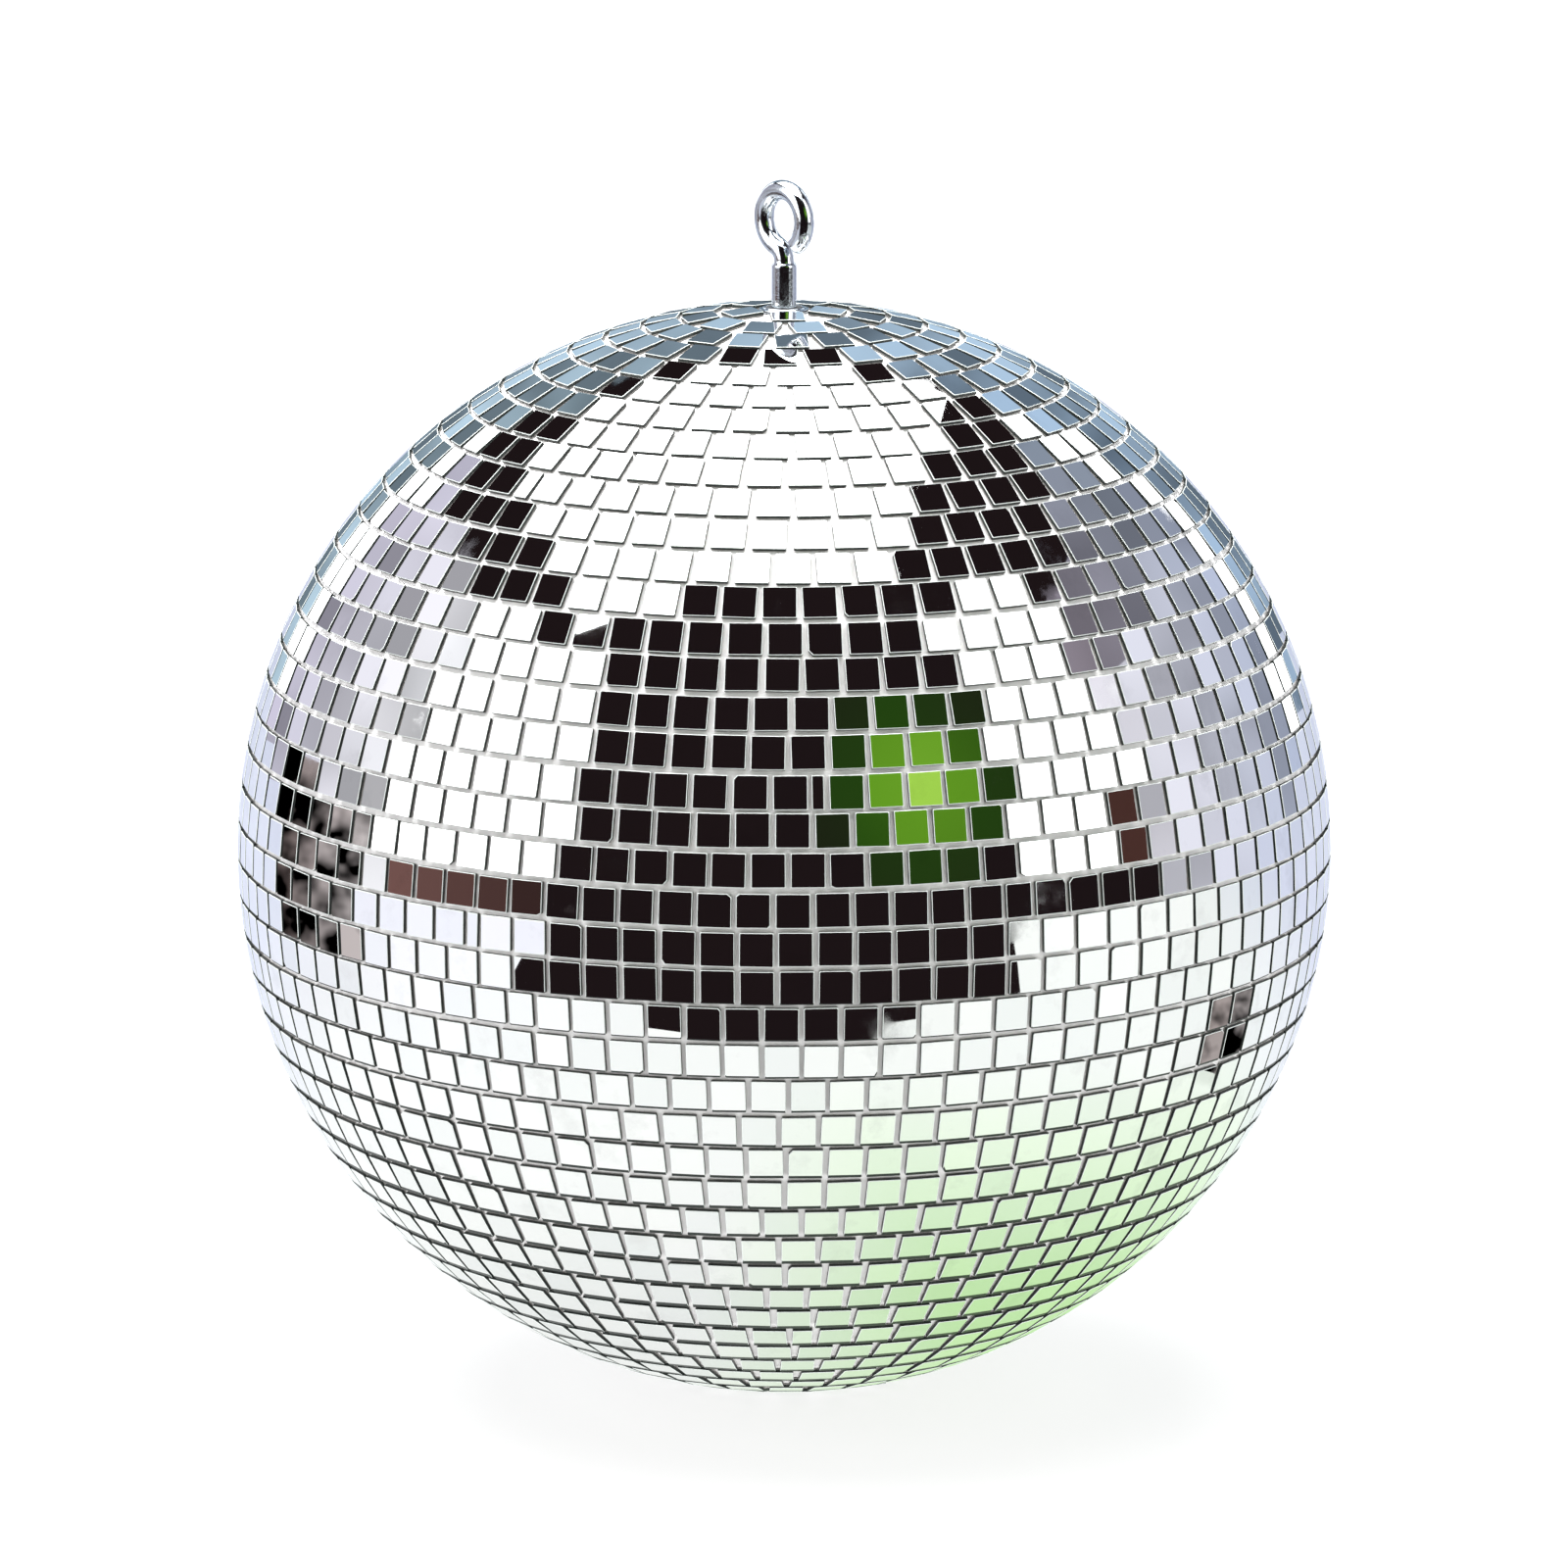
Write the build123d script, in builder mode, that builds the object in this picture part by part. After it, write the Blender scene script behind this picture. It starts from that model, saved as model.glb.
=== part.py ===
from build123d import *
from math import acos, asin, atan, cos, degrees, floor, pi, radians, sin, sqrt, tan
from random import Random
import os

# A hanging mirror ball, 300 mm across. A hollow moulded core in two halves carries a backing layer
# and rings of small flat mirror tiles. A bent eye bolt runs down through the ball, and the ball
# turns on it in two bushes. All lengths are in millimetres.
#
# The origin is the centre of the hanging eye, +Z is up, and the eye's hole runs along Y.

# --- driving dimensions ---------------------------------------------------------------------------

ball_radius = 150.0  # over the corners of the tiles
eye_above_pole = 23.7  # centre of the eye above the top of the ball

rows_per_half = 23  # row pitches from the equator to a pole
top_rows = 22  # rows of tiles above the equator, up to the top washer
bottom_rows = 21  # rows of tiles below it, down to the bottom cap
polar_rows = 2  # the smallest rings round each pole share a node
tile_width = 9.0
tile_height = 9.05
tile_thickness = 1.2
tile_gap = 1.2  # between two tiles of a row, at their narrowest
least_closing_tile = 3.2  # a row is closed with a cut tile no narrower than this
usual_tilt = 0.45  # degrees, how far tiles lean as they are set by hand
odd_tilt = 1.3  # degrees, for the few badly set ones
odd_share = 0.04
roll_in_place = 0.7  # degrees, about the tile's own normal
row_error = 0.22  # how far a whole row sits off its place
tile_error = 0.14  # how far a tile sits off its place, along its row and across it
layout_seed = 30

glue_line = 0.1
backing_thickness = 0.7
core_thickness = 2.5
fit_gap = 0.02  # between curved pieces that are glued face to face

joint_band_height = 24.0
joint_band_thickness = 2.4

shank_radius = 3.4
eye_wire_radius = 2.7
eye_bend_radius = 8.1  # centre line of the eye
neck_radius = 4.0  # centre line of the bend between shank and eye
eye_end_angle = -56.0  # degrees, where the bent wire ends beside the shank
shank_taper = 1.2
thread_radius = 3.0
thread_length = 9.5
thread_chamfer = 0.7

running_clearance = 0.06
bush_radius = 5.0
bush_length = 18.0
bush_fit = 0.05

plate_thickness = 2.0
plate_radius = 32.0
top_washer_radius = 6.8
top_washer_thickness = 1.2

recess_radius = 12.0  # the cup at the bottom that hides the nut
recess_wall = 1.5
recess_floor = -126.0  # upper face of the cup's floor, from the ball's centre
bottom_flange_radius = 8.0
bottom_flange_thickness = 1.5

tube_radius = 8.0

rivet_count = 4
rivet_circle = 24.0
rivet_shank_radius = 1.6
rivet_head_radius = 3.2
rivet_head_thickness = 0.9
rivet_tail_thickness = 1.5

nut_across_flats = 10.0
nut_height = 6.0
thrust_washer_radius = 8.5
thrust_washer_thickness = 1.55

cap_radius = 17.6
cap_thickness = 1.3
cap_skirt_length = 7.0
cap_wall = 1.4

# --- sizes that follow ----------------------------------------------------------------------------

centre_z = -(eye_above_pole + ball_radius)  # the ball's centre
row_pitch = pi / 2 / rows_per_half

# The tiles' corners reach the ball's radius, also on a tile that is lifted by its tilt.
half_diagonal = sqrt(tile_width**2 + tile_height**2) / 2
most_lift = ball_radius * radians(odd_tilt) ** 2 / 2
tile_seat = sqrt(ball_radius**2 - half_diagonal**2) - tile_thickness - most_lift - fit_gap

backing_radius = tile_seat - glue_line
core_radius = backing_radius - backing_thickness
core_inside = core_radius - core_thickness
plate_outside = core_inside - fit_gap
plate_inside = plate_outside - plate_thickness

tube_top = sqrt(plate_inside**2 - tube_radius**2) - bush_fit
tube_bottom = recess_floor + bush_fit
recess_underside = recess_floor - recess_wall
cup_depth = plate_inside + recess_underside  # down to the dished part of the bottom plate
flange_underside = recess_underside - bottom_flange_thickness
shoulder_z = flange_underside - running_clearance
washer_underside = shoulder_z - thrust_washer_thickness

head_seat = core_radius - rivet_head_thickness - bush_fit

neck_z = -sqrt((eye_bend_radius + neck_radius) ** 2 - neck_radius**2)  # from the eye's centre
neck_turn = degrees(acos(neck_radius / (eye_bend_radius + neck_radius)))

# Half sections are drawn to the right of the axis, with y measured up from the ball's centre.
section = Plane(origin=(0, 0, centre_z), x_dir=(1, 0, 0), z_dir=(0, -1, 0))

UP, DOWN = 1, -1
ON_BACK = (Align.CENTER, Align.CENTER, Align.MIN)
pole = {half: Plane(origin=(0, 0, centre_z), z_dir=(0, 0, half)) for half in (UP, DOWN)}


def level(height):
    """The horizontal plane at this height over the ball's centre."""
    return Plane.XY.offset(centre_z + height)


def spherical_band(outside, inside, half_height):
    """The half section of a band of a thick sphere, centred on the equator."""

    def corner(radius, height):
        return (sqrt(radius**2 - height**2), height)

    with BuildSketch() as profile:
        with BuildLine():
            ThreePointArc(corner(outside, -half_height), (outside, 0), corner(outside, half_height))
            Line(corner(outside, half_height), corner(inside, half_height))
            ThreePointArc(corner(inside, half_height), (inside, 0), corner(inside, -half_height))
            Line(corner(inside, -half_height), corner(outside, -half_height))
        make_face()
    return profile.sketch


def half_shell(outside, inside, half):
    """The half section of half a hollow ball, open at the equator."""
    with BuildSketch() as profile:
        with BuildLine():
            CenterArc((0, 0), outside, 0, half * 90)
            Line((0, half * outside), (0, half * inside))
            CenterArc((0, 0), inside, 0, half * 90)
            Line((inside, 0), (outside, 0))
        make_face()
    return profile.sketch


def dished_ring(outside, inside, from_radius, to_radius, half):
    """The half section of a dished plate that follows the inside of the core round a pole."""
    from_angle = half * degrees(acos(to_radius / outside))
    to_angle = half * degrees(acos(from_radius / outside))
    with BuildSketch() as profile:
        with BuildLine():
            outer = CenterArc((0, 0), outside, from_angle, to_angle - from_angle)
            inner = CenterArc((0, 0), inside, from_angle, to_angle - from_angle)
            Line(outer @ 0, inner @ 0)
            Line(outer @ 1, inner @ 1)
        make_face()
    return profile.sketch


def write(part, name):
    """Label a finished piece and write its STEP file."""
    part.label = name
    export_step(part, f"parts/{name}.step")


def rivet_places(half):
    """The planes of the rivets of one plate: origin on the ball's centre, normal out along each."""
    lean = asin(rivet_circle / plate_outside)
    places = []
    for n in range(rivet_count):
        turn = 2 * pi * (n + 0.5) / rivet_count
        out = (sin(lean) * cos(turn), sin(lean) * sin(turn), half * cos(lean))
        places.append(Plane(origin=(0, 0, centre_z), x_dir=(-sin(turn), cos(turn), 0), z_dir=out))
    return places


def drill(plane, start, radius, mode=Mode.SUBTRACT, length=2 * core_thickness + plate_thickness):
    """Cut, or with another mode add, a round bar that starts this far out along a plane's normal."""
    with Locations(plane.offset(start).location):
        Cylinder(radius, length, align=ON_BACK, mode=mode)


def rivet_holes(half):
    """Cut the rivets' holes through a piece, with the sunk seats for their heads."""
    for place in rivet_places(half):
        drill(place, plate_inside - plate_thickness, rivet_shank_radius + bush_fit)
        drill(place, head_seat - bush_fit, rivet_head_radius + bush_fit)


def pole_hole(radius, half):
    """Cut a round hole on the axis through one pole."""
    drill(pole[half], core_inside - 2 * plate_thickness, radius, length=4 * plate_thickness)


def rivets(half):
    """Make one plate's rivets: a flush head in the core, a shank, and a formed tail inside."""
    tail_start = plate_inside - rivet_tail_thickness - bush_fit
    for place in rivet_places(half):
        drill(place, head_seat, rivet_head_radius, Mode.ADD, rivet_head_thickness)
        drill(place, tail_start, rivet_shank_radius, Mode.ADD, head_seat - tail_start)
        drill(place, tail_start, rivet_head_radius, Mode.ADD, rivet_tail_thickness)


os.makedirs("parts", exist_ok=True)

# --- the hanger: the eye bolt with its washer and nut ---------------------------------------------

with BuildPart() as eye_bolt:
    with BuildLine(Plane.XZ) as bend:
        CenterArc((-neck_radius, neck_z), neck_radius, 0, neck_turn)
        CenterArc((0, 0), eye_bend_radius, 180 + neck_turn, eye_end_angle - 180 - neck_turn)
    with BuildSketch(Plane(origin=bend.line @ 0, z_dir=bend.line % 0)):
        Circle(eye_wire_radius)
    sweep()
    with BuildSketch(Plane.XZ):
        with BuildLine():
            Polyline(
                (0, neck_z),
                (eye_wire_radius, neck_z),
                (shank_radius, neck_z - shank_taper),
                (shank_radius, centre_z + shoulder_z),
                (thread_radius, centre_z + shoulder_z),
                (thread_radius, centre_z + shoulder_z - thread_length + thread_chamfer),
                (thread_radius - thread_chamfer, centre_z + shoulder_z - thread_length),
                (0, centre_z + shoulder_z - thread_length),
                close=True,
            )
        make_face()
    revolve(axis=Axis.Z)
eye_bolt.part.label = "eye_bolt"
export_step(eye_bolt.part, "parts/eye_bolt.step")

with BuildPart() as thrust_washer:
    with BuildSketch(level(washer_underside)):
        Circle(thrust_washer_radius)
        Circle(thread_radius + fit_gap, mode=Mode.SUBTRACT)
    extrude(amount=thrust_washer_thickness)
thrust_washer.part.label = "thrust_washer"
export_step(thrust_washer.part, "parts/thrust_washer.step")

with BuildPart() as lock_nut:
    with BuildSketch(level(washer_underside)):
        RegularPolygon(nut_across_flats / 2, 6, major_radius=False)
        Circle(thread_radius + fit_gap, mode=Mode.SUBTRACT)
    extrude(amount=-nut_height)
    chamfer(lock_nut.faces().sort_by(Axis.Z)[0].outer_wire().edges(), length=0.5)
lock_nut.part.label = "lock_nut"
export_step(lock_nut.part, "parts/lock_nut.step")

# --- the core: two moulded halves, joined over a band, with a backing layer on each ----------------

with BuildPart() as upper_core_shell:
    with BuildSketch(section):
        add(half_shell(core_radius, core_inside, UP))
    revolve(axis=Axis.Z)
    pole_hole(bush_radius + bush_fit, UP)
    rivet_holes(UP)
upper_core_shell.part.label = "upper_core_shell"
export_step(upper_core_shell.part, "parts/upper_core_shell.step")

with BuildPart() as lower_core_shell:
    with BuildSketch(section):
        add(half_shell(core_radius, core_inside, DOWN))
    revolve(axis=Axis.Z)
    pole_hole(recess_radius + recess_wall + bush_fit, DOWN)
    rivet_holes(DOWN)
lower_core_shell.part.label = "lower_core_shell"
export_step(lower_core_shell.part, "parts/lower_core_shell.step")

with BuildPart() as joint_band:
    with BuildSketch(section):
        band_inside = plate_outside - joint_band_thickness
        add(spherical_band(plate_outside, band_inside, joint_band_height / 2))
    revolve(axis=Axis.Z)
joint_band.part.label = "joint_band"
export_step(joint_band.part, "parts/joint_band.step")

with BuildPart() as upper_backing:
    with BuildSketch(section):
        add(half_shell(backing_radius, core_radius + fit_gap, UP))
    revolve(axis=Axis.Z)
    pole_hole(bush_radius + bush_fit, UP)
upper_backing.part.label = "upper_backing"
export_step(upper_backing.part, "parts/upper_backing.step")

with BuildPart() as lower_backing:
    with BuildSketch(section):
        add(half_shell(backing_radius, core_radius + fit_gap, DOWN))
    revolve(axis=Axis.Z)
    pole_hole(recess_radius + recess_wall + bush_fit, DOWN)
lower_backing.part.label = "lower_backing"
export_step(lower_backing.part, "parts/lower_backing.step")

# --- the bearings: plates, bushes, tube and rivets ------------------------------------------------

with BuildPart() as top_plate:
    with BuildSketch(section):
        add(dished_ring(plate_outside, plate_inside, 0, plate_radius, UP))
    revolve(axis=Axis.Z)
    pole_hole(bush_radius + bush_fit, UP)
    rivet_holes(UP)
top_plate.part.label = "top_plate"
export_step(top_plate.part, "parts/top_plate.step")

with BuildPart() as top_bush:
    top_bush_end = tile_seat + tile_thickness
    with BuildSketch(level(top_bush_end)):
        Circle(bush_radius)
        Circle(shank_radius + running_clearance, mode=Mode.SUBTRACT)
    extrude(amount=-bush_length)
top_bush.part.label = "top_bush"
export_step(top_bush.part, "parts/top_bush.step")

with BuildPart() as top_washer:
    with BuildSketch(level(tile_seat)):
        Circle(top_washer_radius)
        Circle(bush_radius + fit_gap, mode=Mode.SUBTRACT)
    extrude(amount=top_washer_thickness)
    chamfer(top_washer.edges().group_by(Axis.Z)[-1].sort_by(SortBy.RADIUS)[-1], length=0.35)
top_washer.part.label = "top_washer"
export_step(top_washer.part, "parts/top_washer.step")

with BuildPart() as bottom_plate:
    cup_outside = recess_radius + recess_wall
    with BuildSketch(section):
        add(dished_ring(plate_outside, plate_inside, recess_radius, plate_radius, DOWN))
    revolve(axis=Axis.Z)
    with BuildSketch(level(recess_underside)):
        Circle(cup_outside)
    extrude(amount=-cup_depth)
    with BuildSketch(level(recess_underside)):
        Circle(recess_radius)
    extrude(amount=-ball_radius, mode=Mode.SUBTRACT)
    with BuildSketch(level(recess_underside)):
        Circle(cup_outside)
        Circle(bush_radius + bush_fit, mode=Mode.SUBTRACT)
    extrude(amount=recess_wall)
    rivet_holes(DOWN)
bottom_plate.part.label = "bottom_plate"
export_step(bottom_plate.part, "parts/bottom_plate.step")

with BuildPart() as bottom_bush:
    with BuildSketch(level(flange_underside)):
        Circle(bottom_flange_radius)
    extrude(amount=bottom_flange_thickness)
    with BuildSketch(level(flange_underside)):
        Circle(bush_radius)
    extrude(amount=bush_length)
    with BuildSketch(level(flange_underside)):
        Circle(shank_radius + running_clearance)
    extrude(amount=bush_length, mode=Mode.SUBTRACT)
bottom_bush.part.label = "bottom_bush"
export_step(bottom_bush.part, "parts/bottom_bush.step")

with BuildPart() as spacer_tube:
    with BuildSketch(level(tube_bottom)):
        Circle(tube_radius)
        Circle(bush_radius + bush_fit, mode=Mode.SUBTRACT)
    extrude(amount=tube_top - tube_bottom)
spacer_tube.part.label = "spacer_tube"
export_step(spacer_tube.part, "parts/spacer_tube.step")

with BuildPart() as bottom_cap:
    with BuildSketch(level(-tile_seat)):
        Circle(cap_radius)
    extrude(amount=-cap_thickness)
    chamfer(bottom_cap.edges().group_by(Axis.Z)[0], length=0.4)
    with BuildSketch(level(-tile_seat)):
        Circle(recess_radius - bush_fit)
        Circle(recess_radius - bush_fit - cap_wall, mode=Mode.SUBTRACT)
    extrude(amount=cap_skirt_length)
bottom_cap.part.label = "bottom_cap"
export_step(bottom_cap.part, "parts/bottom_cap.step")

with BuildPart() as top_rivets:
    rivets(UP)
top_rivets.part.label = "top_rivets"
export_step(top_rivets.part, "parts/top_rivets.step")

with BuildPart() as bottom_rivets:
    rivets(DOWN)
bottom_rivets.part.label = "bottom_rivets"
export_step(bottom_rivets.part, "parts/bottom_rivets.step")

# --- the mirror tiles: rows of flat glass squares, each a little off true --------------------------


def seat(latitude, longitude, chance):
    """The location of a tile's back face: flat on the ball there, then shifted, tilted, rolled
    and lifted just clear of the backing, as a hand-set tile is."""
    out = (cos(latitude) * cos(longitude), cos(latitude) * sin(longitude), sin(latitude))
    east = (-sin(longitude), cos(longitude), 0)
    foot = Vector(0, 0, centre_z) + Vector(*out) * tile_seat
    tilt = odd_tilt if chance.random() < odd_share else usual_tilt * chance.random()
    toward = chance.uniform(0, 2 * pi)
    roll = chance.uniform(-roll_in_place, roll_in_place)
    shift = (chance.uniform(-tile_error, tile_error), chance.uniform(-tile_error, tile_error))
    lift = tile_seat * radians(tilt) ** 2 / 2
    lean = (tilt * cos(toward), tilt * sin(toward), roll)
    return Plane(origin=foot, x_dir=east, z_dir=out).location * Location((*shift, lift), lean)


def row_latitudes(count):
    """The latitudes of the rows' middles, from the equator up. Straight tiles on a small ring
    reach outwards with their corners, so the rows draw apart towards the pole."""
    latitudes = [row_pitch / 2]
    while len(latitudes) < count:
        latitude = latitudes[-1] + row_pitch
        far_edge = tile_seat * cos(latitude) + tile_height / 2 * sin(latitude)
        corner_reach = sqrt(far_edge**2 + (tile_width / 2) ** 2) - far_edge
        latitudes.append(latitude + corner_reach / ball_radius)
    return latitudes


def row_layout(row, half):
    """Divide one row: where its full tiles sit, where its cut closing tile sits, and how wide
    the closing tile is (nothing where the full tiles close the row by themselves)."""
    chance = Random(layout_seed * 1000 + row * 2 + (half == DOWN))
    latitude = latitudes[row] + chance.uniform(-row_error, row_error) / tile_seat
    near_pole_edge = tile_seat * cos(latitude) - tile_height / 2 * sin(latitude)
    step = 2 * atan((tile_width + tile_gap) / 2 / near_pole_edge)
    count = floor(2 * pi / step)
    spare = 2 * pi - count * step
    closing_width = 2 * near_pole_edge * tan(spare / 2) - tile_gap
    if closing_width < least_closing_tile:
        step, spare, closing_width = 2 * pi / count, 0, 0
    start = chance.uniform(0, 2 * pi)
    full = [seat(half * latitude, start + (n + 0.5) * step, chance) for n in range(count)]
    closing = [seat(half * latitude, start - spare / 2, chance)] if closing_width else []
    return full, closing, closing_width


def mirror_tiles(row, half):
    """Make the tiles of one row."""
    full, closing, closing_width = row_layout(row, half)
    with Locations(*full):
        Box(tile_width, tile_height, tile_thickness, align=ON_BACK)
    if closing:
        with Locations(*closing):
            Box(closing_width, tile_height, tile_thickness, align=ON_BACK)


latitudes = row_latitudes(max(top_rows, bottom_rows))
rows_in_order = [(row, UP) for row in reversed(range(top_rows - polar_rows))]
rows_in_order += [(row, DOWN) for row in range(bottom_rows - polar_rows)]

for number, (row, half) in enumerate(rows_in_order, start=1):
    with BuildPart() as mirror_row:
        mirror_tiles(row, half)
    write(mirror_row.part, f"mirror_row_{number:02d}")

for name, count, half in (
    ("top_pole_tiles", top_rows, UP),
    ("bottom_pole_tiles", bottom_rows, DOWN),
):
    with BuildPart() as pole_tiles:
        for row in range(count - polar_rows, count):
            mirror_tiles(row, half)
    write(pole_tiles.part, name)
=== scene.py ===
import math
import random

import bmesh
import bpy
import numpy as np
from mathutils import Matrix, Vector


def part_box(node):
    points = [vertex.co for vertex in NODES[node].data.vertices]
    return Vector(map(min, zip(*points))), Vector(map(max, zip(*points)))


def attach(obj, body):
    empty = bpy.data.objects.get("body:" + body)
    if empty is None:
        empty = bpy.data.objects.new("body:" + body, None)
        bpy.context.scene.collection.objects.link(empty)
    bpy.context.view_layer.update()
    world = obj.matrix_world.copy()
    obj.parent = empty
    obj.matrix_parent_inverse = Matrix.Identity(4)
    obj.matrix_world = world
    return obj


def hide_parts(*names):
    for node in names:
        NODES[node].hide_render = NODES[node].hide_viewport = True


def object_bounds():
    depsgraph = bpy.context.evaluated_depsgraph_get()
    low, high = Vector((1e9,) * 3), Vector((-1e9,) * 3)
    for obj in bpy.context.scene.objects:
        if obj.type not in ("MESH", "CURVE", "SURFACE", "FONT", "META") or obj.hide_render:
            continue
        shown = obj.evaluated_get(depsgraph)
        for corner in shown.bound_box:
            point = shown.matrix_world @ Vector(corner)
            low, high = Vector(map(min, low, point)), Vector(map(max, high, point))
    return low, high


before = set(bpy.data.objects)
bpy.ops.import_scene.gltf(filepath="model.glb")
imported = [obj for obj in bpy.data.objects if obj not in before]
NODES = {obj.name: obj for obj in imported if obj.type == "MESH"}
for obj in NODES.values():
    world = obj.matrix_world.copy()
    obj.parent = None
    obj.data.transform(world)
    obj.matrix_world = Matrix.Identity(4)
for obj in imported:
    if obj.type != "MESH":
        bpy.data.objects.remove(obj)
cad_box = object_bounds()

# A mirror ball, seen standing on a pale floor. Metres throughout; MM turns millimetres into them.
# Colours are linear. In the studio, azimuths and elevations are in degrees.

MM = 0.001
ROW_NODES = sorted(n for n in NODES if n.startswith("mirror_row_"))
TILE_NODES = ["top_pole_tiles", *ROW_NODES, "bottom_pole_tiles"]

BALL_CENTRE = Vector((0, 0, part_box("upper_core_shell")[0].z))
FLOOR_Z = cad_box[0].z

VIEW_AZIMUTH = math.radians(48)  # of the camera, from -Y towards +X
VIEW_ELEVATION = 12  # degrees


# --- small helpers --------------------------------------------------------------------------------


def new_object(name, mesh, materials=()):
    """Link a mesh as an object with these materials."""
    obj = bpy.data.objects.new(name, mesh)
    bpy.context.scene.collection.objects.link(obj)
    for material in materials:
        obj.data.materials.append(material)
    return obj


def mesh_from(name, vertices, faces):
    mesh = bpy.data.meshes.new(name)
    mesh.from_pydata([tuple(v) for v in vertices], [], faces)
    mesh.validate()
    return mesh


def shade_smooth(obj, angle=math.radians(32)):
    """Smooth shading, with edges sharper than the angle kept."""
    obj.data.shade_smooth()
    obj.data.set_sharp_from_angle(angle=angle)


def shader(name, metallic=0.0, roughness=0.5):
    """A new material. Returns it with its node tree and its Principled node."""
    material = bpy.data.materials.new(name)
    material.use_nodes = True
    tree = material.node_tree
    principled = tree.nodes["Principled BSDF"]
    principled.inputs["Metallic"].default_value = metallic
    principled.inputs["Roughness"].default_value = roughness
    return material, tree, principled


def attribute(tree, name):
    """A value that the mesh holds for each face or point."""
    node = tree.nodes.new("ShaderNodeAttribute")
    node.attribute_name = name
    return node.outputs["Fac"]


def noise(tree, scale, detail=3.0, roughness=0.55, stretch=(1, 1, 1)):
    """A noise texture on the object's own coordinates. Scale is in cycles per metre."""
    place = tree.nodes.new("ShaderNodeTexCoord")
    mapping = tree.nodes.new("ShaderNodeMapping")
    mapping.inputs["Scale"].default_value = stretch
    texture = tree.nodes.new("ShaderNodeTexNoise")
    texture.inputs["Scale"].default_value = scale
    texture.inputs["Detail"].default_value = detail
    texture.inputs["Roughness"].default_value = roughness
    tree.links.new(place.outputs["Object"], mapping.inputs["Vector"])
    tree.links.new(mapping.outputs["Vector"], texture.inputs["Vector"])
    return texture.outputs["Fac"]


def spread(tree, value, low, high, start=0.0, end=1.0):
    """Map a value from start..end to low..high, clamped."""
    node = tree.nodes.new("ShaderNodeMapRange")
    node.inputs["From Min"].default_value = start
    node.inputs["From Max"].default_value = end
    node.inputs["To Min"].default_value = low
    node.inputs["To Max"].default_value = high
    tree.links.new(value, node.inputs["Value"])
    return node.outputs["Result"]


def blend_colours(tree, factor, first, second):
    """Mix two colours by a factor; either may be a colour or a socket."""
    node = tree.nodes.new("ShaderNodeMix")
    node.data_type = "RGBA"
    tree.links.new(factor, node.inputs["Factor"])
    sockets = [s for s in node.inputs if s.type == "RGBA"]
    for socket, colour in zip(sockets, (first, second)):
        if isinstance(colour, tuple):
            socket.default_value = (*colour, 1)
        else:
            tree.links.new(colour, socket)
    return [s for s in node.outputs if s.type == "RGBA"][0]


def along(tree, way, start, end):
    """How far a point lies along a direction, as 0 at start metres and 1 at end metres."""
    place = tree.nodes.new("ShaderNodeTexCoord")
    dot = tree.nodes.new("ShaderNodeVectorMath")
    dot.operation = "DOT_PRODUCT"
    dot.inputs[1].default_value = way
    tree.links.new(place.outputs["Object"], dot.inputs[0])
    return spread(tree, dot.outputs["Value"], 0, 1, start, end)


def away(tree, start, end):
    """How far a point lies from the vertical axis, as 0 at start metres and 1 at end metres."""
    place = tree.nodes.new("ShaderNodeTexCoord")
    flat = tree.nodes.new("ShaderNodeVectorMath")
    flat.operation = "MULTIPLY"
    flat.inputs[1].default_value = (1, 1, 0)
    tree.links.new(place.outputs["Object"], flat.inputs[0])
    length = tree.nodes.new("ShaderNodeVectorMath")
    length.operation = "LENGTH"
    tree.links.new(flat.outputs["Vector"], length.inputs[0])
    return spread(tree, length.outputs["Value"], 0, 1, start, end)


def colour_by(tree, principled, factor, first, second):
    """Colour a shader with a mix of two colours."""
    tree.links.new(blend_colours(tree, factor, first, second), principled.inputs["Base Color"])


def roughen_by(tree, principled, factor, low, high, start=0.0, end=1.0):
    """Run a shader's roughness from low to high as the factor goes from start to end."""
    roughness = spread(tree, factor, low, high, start, end)
    tree.links.new(roughness, principled.inputs["Roughness"])


def bump(tree, principled, height, distance):
    """Drive a shader's normal from a height. Distance is in metres."""
    node = tree.nodes.new("ShaderNodeBump")
    node.inputs["Distance"].default_value = distance
    tree.links.new(height, node.inputs["Height"])
    tree.links.new(node.outputs["Normal"], principled.inputs["Normal"])


# --- materials ------------------------------------------------------------------------------------

GLASS_IOR = 1.52


def mirror_face():
    """Silvered glass seen from the front: a bright mirror whose tone differs a little from tile to
    tile, with a faint film on it."""
    material, tree, principled = shader("mirror_face", metallic=1.0)
    tone = attribute(tree, "tone")
    tinted = blend_colours(tree, tone, (0.86, 0.88, 0.88), (0.95, 0.955, 0.95))
    film = spread(tree, noise(tree, 60, 5, 0.6), 0, 1, 0.56, 0.78)
    colour_by(tree, principled, film, tinted, (0.78, 0.79, 0.79))
    roughen_by(tree, principled, film, 0.008, 0.09)
    return material


def glass_arris():
    """The narrow ground edge between a tile's face and its sides."""
    material, tree, principled = shader("glass_arris")
    grit = noise(tree, 2500, 2)
    colour_by(tree, principled, grit, (0.6, 0.66, 0.64), (0.86, 0.9, 0.88))
    roughen_by(tree, principled, grit, 0.2, 0.5)
    return material


def glass_side():
    """The cut side of a tile: dark grey-green glass, ribbed where the cutter ran. Also laid along the
    foot of the face of a tile that faces down, as painted shade.
    """
    material, tree, principled = shader("glass_side")
    principled.inputs["IOR"].default_value = GLASS_IOR
    principled.inputs["Specular IOR Level"].default_value = 0.3
    ribs = noise(tree, 900, 3, 0.6, (1, 1, 0.2))
    roughen_by(tree, principled, ribs, 0.25, 0.5)
    colour_by(tree, principled, ribs, (0.008, 0.011, 0.01), (0.03, 0.038, 0.035))
    bump(tree, principled, ribs, 0.05 * MM)
    return material


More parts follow.
